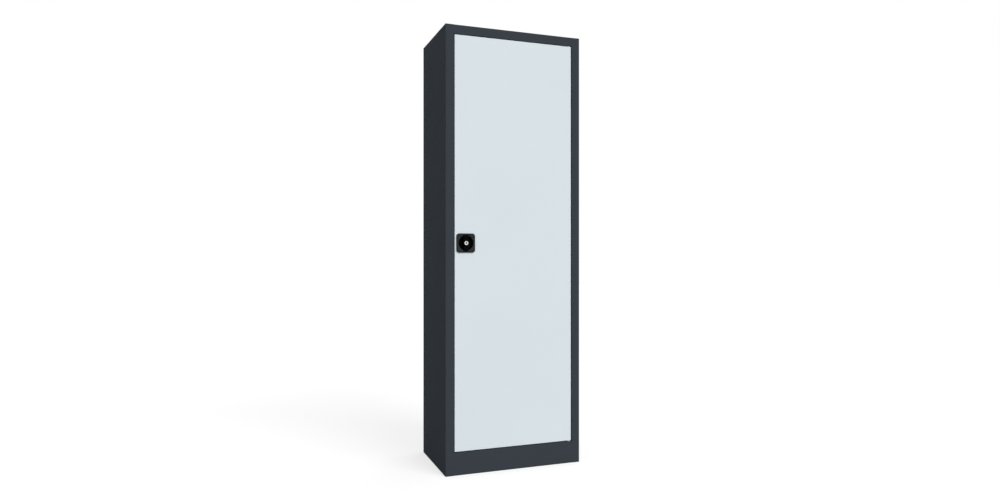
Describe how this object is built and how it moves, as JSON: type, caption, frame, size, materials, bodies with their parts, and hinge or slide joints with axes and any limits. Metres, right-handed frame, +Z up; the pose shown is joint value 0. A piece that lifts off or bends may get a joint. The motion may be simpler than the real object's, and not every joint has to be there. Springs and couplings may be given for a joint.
{
  "type": "storage cabinet",
  "caption": "Tall sheet-steel storage cabinet with a flush hinged door, a recessed rotary handle with a key lock that drives bolt rods, and shelves on slotted rails.",
  "frame": {"origin": "on the floor under the middle of the carcass footprint", "axes": "+Z up along the height, -Y out of the door's front face, +X to the right seen from the front (hinge side)"},
  "size_m": [0.6, 0.412, 1.85],
  "materials": {
    "body_paint": "satin anthracite powder coat",
    "door_paint": "satin light grey powder coat",
    "zinc_steel": "zinc plated",
    "nickel": "satin nickel plate",
    "black_plastic": "fine moulded texture",
    "nylon": "natural nylon",
    "rubber": "matte"
  },
  "bodies": {
    "carcass": {"left_side_panel": "body_paint", "right_side_panel": "body_paint", "back_panel": "body_paint", "top_panel": "body_paint", "plinth_panel": "body_paint", "bottom_panel": "body_paint", "left_front_rail": "body_paint", "left_rear_rail": "body_paint", "right_front_rail": "body_paint", "right_rear_rail": "body_paint", "shelf_1": "body_paint", "shelf_2": "body_paint", "shelf_3": "body_paint", "shelf_4": "body_paint", "shelf_1_stiffener": "body_paint", "shelf_2_stiffener": "body_paint", "shelf_3_stiffener": "body_paint", "shelf_4_stiffener": "body_paint", "shelf_clips": "zinc_steel", "upper_hinge_bracket": "body_paint", "lower_hinge_bracket": "body_paint", "upper_hinge_pin": "zinc_steel", "lower_hinge_pin": "zinc_steel", "hinge_washer": "nylon", "door_buffers": "rubber"},
    "door": {"door_panel": "door_paint", "door_stiffener": "door_paint", "upper_pivot_plate": "door_paint", "lower_pivot_plate": "door_paint", "upper_hinge_bush": "nylon", "lower_hinge_bush": "nylon", "handle_housing": "black_plastic", "handle_screws": "zinc_steel", "upper_rod_guide": "zinc_steel", "lower_rod_guide": "zinc_steel", "guide_rivets": "zinc_steel"},
    "handle": {"handle_grip": "black_plastic", "cylinder_barrel": "nickel", "spindle": "zinc_steel", "latch_cam": "zinc_steel", "rod_pins": "zinc_steel", "rod_retainers": "zinc_steel", "cam_washer": "zinc_steel", "cam_screw": "zinc_steel"},
    "plug": {"cylinder_plug": "nickel"},
    "lock_bolt": {"lock_bolt": "zinc_steel"},
    "upper_rod": {"upper_rod": "zinc_steel"},
    "lower_rod": {"lower_rod": "zinc_steel"}
  },
  "joints": [
    {"name": "door_hinge", "type": "hinge", "parent": "carcass", "child": "door", "pos_m": [0.252, -0.193, 0.95], "axis": [0, 0, 1], "range_deg": [0, 110]},
    {"name": "handle_turn", "type": "hinge", "parent": "door", "child": "handle", "pos_m": [-0.215, -0.2, 0.9542], "axis": [0, 1, 0], "range_deg": [0, 90]},
    {"name": "key_turn", "type": "hinge", "parent": "handle", "child": "plug", "pos_m": [-0.215, -0.2, 0.9542], "axis": [0, 1, 0], "range_deg": [0, 90]},
    {"name": "lock_bolt_slide", "type": "slide", "parent": "handle", "child": "lock_bolt", "axis": [1, 0, 0], "range_m": [0, 0.0035]},
    {"name": "upper_rod_slide", "type": "slide", "parent": "door", "child": "upper_rod", "axis": [0, 0, 1], "range_m": [0, 0.022]},
    {"name": "lower_rod_slide", "type": "slide", "parent": "door", "child": "lower_rod", "axis": [0, 0, -1], "range_m": [0, 0.022]}
  ],
  "couplings": [
    {"joint": "lock_bolt_slide", "follows": "key_turn", "m_per_rad": 0.0022282},
    {"joint": "handle_turn", "follows": "upper_rod_slide", "rad_per_m": 71.4},
    {"joint": "lower_rod_slide", "follows": "upper_rod_slide", "ratio": 1}
  ]
}
